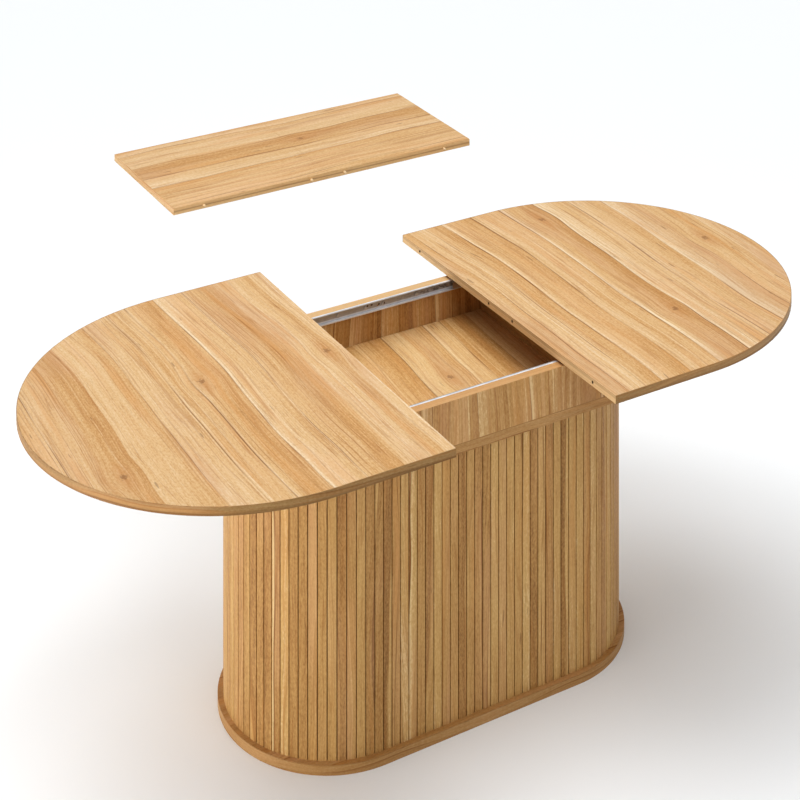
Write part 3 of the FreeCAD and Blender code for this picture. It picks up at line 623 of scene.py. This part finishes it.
def split_edge_marks(hand):
    """The straight edge is a strip of its own, paler than the face, with a dark glue line under the face, and
    the walls of its dowel bores are raw wood, painted very dark as the shade deep inside them."""
    low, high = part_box(hand + "_top_panel")

    def marks(x, y, z):
        edge = (x > high.x - SKIN) if hand == "left" else (x < low.x + SKIN)
        under_face = edge * (high.z - z).fade(*EDGE_GLUE)
        level = z - (low.z + high.z) / 2
        bores = 0.0
        for place in BORE_PLACES:
            beside = abs(y) - place
            bores = bores + ((beside * beside + level * level) < BORE_RADIUS * BORE_RADIUS)
        return (edge * 0.4, EDGE_TONE), (under_face * 0.25, GLUE_AND_SHADE_BROWN), (bores * 0.8, BORE_SHADE)

    return marks


BAND_TONES = (
    (0.00, chart(116, 82, 42)),
    (0.30, chart(145, 108, 60)),
    (0.60, chart(162, 126, 77)),
    (1.00, chart(185, 151, 101)),
)
# Painted shade on a band: how far from its upper and lower arris it begins and where it is full, and its
# brown at the foot.
BAND_HEAD = (0.0050, 0.0020)
BAND_FOOT = (0.0085, 0.0020)
BAND_FOOT_SHADE = chart(112, 76, 36)


def band_shade_marks(name):
    """Painted shade on a band: a little darker towards its upper arris, and more towards its lower one, where
    less light comes up from the floor.
    """
    foot, head = board_faces(name)

    def marks(x, y, z):
        upper = (head - z).fade(*BAND_HEAD)
        lower = (z - foot).fade(*BAND_FOOT)
        return (upper * 0.1, GLUE_AND_SHADE_BROWN), (lower * 0.5, BAND_FOOT_SHADE)

    return marks


TOP_KNOTS = {
    "left": ((-0.540, 0.051), (-0.242, 0.032), (-0.827, -0.206)),
    "right": ((0.559, 0.346), (0.856, 0.051), (0.556, -0.206)),
}
TOP_SEEDS = {"left": 245.39, "right": 155.3}
BAND_SEEDS = {"left": 41.3, "right": 42.3}

for hand in HANDS:
    top = hand + "_top_panel"
    band = hand + "_edge_band"
    top_height = board_faces(top)[1]
    top_wood = veneer(
        hand + "_top_veneer",
        lambda x, y, z: (x + (z - top_height), y),
        HONEY,
        board=0.075,
        seed=TOP_SEEDS[hand],
        contrast=0.85,
        knots=TOP_KNOTS[hand],
        marks=split_edge_marks(hand),
    )
    dress(top_wood, top)
    band_wood = veneer(
        band + "_veneer",
        banded_lay(band),
        BAND_TONES,
        board=0.04,
        seed=BAND_SEEDS[hand],
        contrast=0.8,
        mauve_share=0.15,
        marks=band_shade_marks(band),
    )
    dress(band_wood, band)

dress(beech("top_dowel_beech", lambda x, y, z: (y + z, x), seed=6.0), "left_dowels")


# Leaf
# The spare piece of top, in two halves on butt hinges so that it folds into the box. It is the same board as
# the tops, with its grain along its length and dowels in its front edge.

LEAF_GLUE = (0.0026, 0.0010)
LEAF_KNOTS = ((1.033, 0.212),)


def leaf_lay(name):
    """Grain along x on the faces and long edges, and along y round the short ends."""
    low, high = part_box(name)

    def lay(x, y, z):
        end = (x < low.x + SKIN) + (x > high.x - SKIN)
        across = y + (z - high.z)
        return across + end * (z - across), x + end * (y - x)

    return lay


def leaf_edge_marks(name):
    """The long edges are strips of their own, paler than the face, with a thin dark glue line."""
    low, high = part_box(name)
    glue_height = (low.z + high.z) / 2

    def marks(x, y, z):
        edge = (y < low.y + SKIN) + (y > high.y - SKIN)
        glue_line = edge * abs(z - glue_height).fade(*LEAF_GLUE)
        return (edge * 0.35, EDGE_TONE), (glue_line * 0.5, GLUE_AND_SHADE_BROWN)

    return marks


BRASS = ((0.3, chart(168, 132, 66)), (0.7, chart(214, 178, 104)))
leaf_beech = beech("leaf_dowel_beech", lambda x, y, z: (x + z, y), seed=7.0)
hinge_brass = plated("hinge_brass", BRASS, lambda x, y, z: (x + z, y), rough=0.34)
dress(hinge_brass, "leaf_hinge_pins")
for hand in HANDS:
    half = f"leaf_{hand}_panel"
    leaf_wood = veneer(
        half + "_veneer",
        leaf_lay(half),
        HONEY,
        board=0.06,
        seed=172.24,
        contrast=0.52,
        knots=LEAF_KNOTS,
        marks=leaf_edge_marks(half),
    )
    dress(leaf_wood, half)
    dress(leaf_beech, f"leaf_{hand}_dowels")
    dress(hinge_brass, f"leaf_{hand}_hinge_plates", f"leaf_{hand}_hinge_screws")


# Floor and light
# A plain pale studio floor under wide soft lights from above, from behind and, weaker, from the front, and a
# lamp over the middle of the table. A low panel on the left stays under the height of the tops, and a white
# room glows all round.

STUDIO_FLOOR_HALF = 200.0
STUDIO_FLOOR_PAINT = (0.868, 0.892, 0.91, 1.0)
floor_mesh = bpy.data.meshes.new("studio_floor")
corners = np.array([[-1, -1, 0], [1, -1, 0], [1, 1, 0], [-1, 1, 0]]) * STUDIO_FLOOR_HALF
floor_mesh.from_pydata(corners.tolist(), [], [(0, 1, 2, 3)])
floor = bpy.data.objects.new("studio_floor", floor_mesh)
bpy.context.scene.collection.objects.link(floor)
floor_paint, floor_shader = new_finish("floor_paint", specular=0.1)[:2]
floor_shader.inputs["Base Color"].default_value = STUDIO_FLOOR_PAINT
floor_shader.inputs["Roughness"].default_value = 0.9
floor_mesh.materials.append(floor_paint)


def hang(name, light, facing):
    """Puts a light into the studio, turned the way that it faces."""
    lamp = bpy.data.objects.new(name, light)
    lamp.rotation_euler = Vector(facing).to_track_quat("-Z", "Y").to_euler()
    bpy.context.scene.collection.objects.link(lamp)
    return lamp


# Each far light: the direction in which it faces, its spread in degrees and its strength.
FAR_LIGHTS = {
    "overhead_light": ((0.14, -0.09, -0.98), 60, 1.27),
    "back_light": ((0.05, -0.58, -0.81), 45, 0.95),
    "front_light": ((-0.05, 0.68, -0.72), 45, 0.64),
}
for name, (facing, spread, strength) in FAR_LIGHTS.items():
    light = bpy.data.lights.new(name, "SUN")
    light.energy = strength
    light.angle = math.radians(spread)
    hang(name, light, facing)

# Each near light: its shape, width and height, its place, the direction in which it faces and its watts.
NEAR_LIGHTS = {
    "side_panel": ("RECTANGLE", (2.4, 0.66), (-3.2, 0.1, 0.36), (1, 0, 0), 55.0),
    "ceiling_lamp": ("DISK", (1.2, 1.2), (-0.05, 0.1, 3.1), (0, 0, -1), 15.5),
}
for name, (shape, size, place, facing, watts) in NEAR_LIGHTS.items():
    light = bpy.data.lights.new(name, "AREA")
    light.shape = shape
    light.size, light.size_y = size
    light.energy = watts
    lamp = hang(name, light, facing)
    lamp.location = place
    lamp.visible_camera = False

ROOM_GLOW = 0.31
room = bpy.data.worlds.new("white_room")
room.use_nodes = True
room_walls = room.node_tree.nodes["Background"]
room_walls.inputs["Color"].default_value = (1.0, 1.0, 1.0, 1.0)
room_walls.inputs["Strength"].default_value = ROOM_GLOW
bpy.context.scene.world = room
bpy.context.scene.view_settings.view_transform = "Standard"


# Camera
# The photograph keeps its upright lines upright: the back of the camera stood plumb and the picture is the
# part of a wider view that lies far below the level line of sight. The lens axis then meets that plane at a
# slant, so the camera's three axes are set as they were there, through the matrix of its holder.

PICTURE_SIZE = 800
FOCAL_PIXELS = 1948.0
LEVEL_SIGHT_PIXEL = (392.3, -628.9)
STANDPOINT = np.array([-2.3122, -3.8141, 2.9449])
HEADING = math.radians(30.22)
FILM_WIDTH = 36.0

ahead = np.array([math.sin(HEADING), math.cos(HEADING), 0.0])
right = np.array([math.cos(HEADING), -math.sin(HEADING), 0.0])
up = np.array([0.0, 0.0, 1.0])
aside, below = (PICTURE_SIZE / 2 - pixel for pixel in LEVEL_SIGHT_PIXEL)
sight = ahead + (right * aside - up * below) / FOCAL_PIXELS
slant = np.linalg.norm(sight)

camera_data = bpy.data.cameras.new("photo_camera")
camera_data.sensor_width = FILM_WIDTH
camera_data.lens = FILM_WIDTH * FOCAL_PIXELS * slant / PICTURE_SIZE
camera = bpy.data.objects.new("photo_camera", camera_data)
plumb_back = bpy.data.objects.new("plumb_camera_back", None)
bpy.context.scene.collection.objects.link(plumb_back)
bpy.context.scene.collection.objects.link(camera)
axes = np.eye(4)
axes[:3, :] = np.column_stack([right, up, -sight / slant, STANDPOINT])
camera.parent = plumb_back
camera.matrix_parent_inverse = Matrix(axes.tolist())
bpy.context.scene.camera = camera
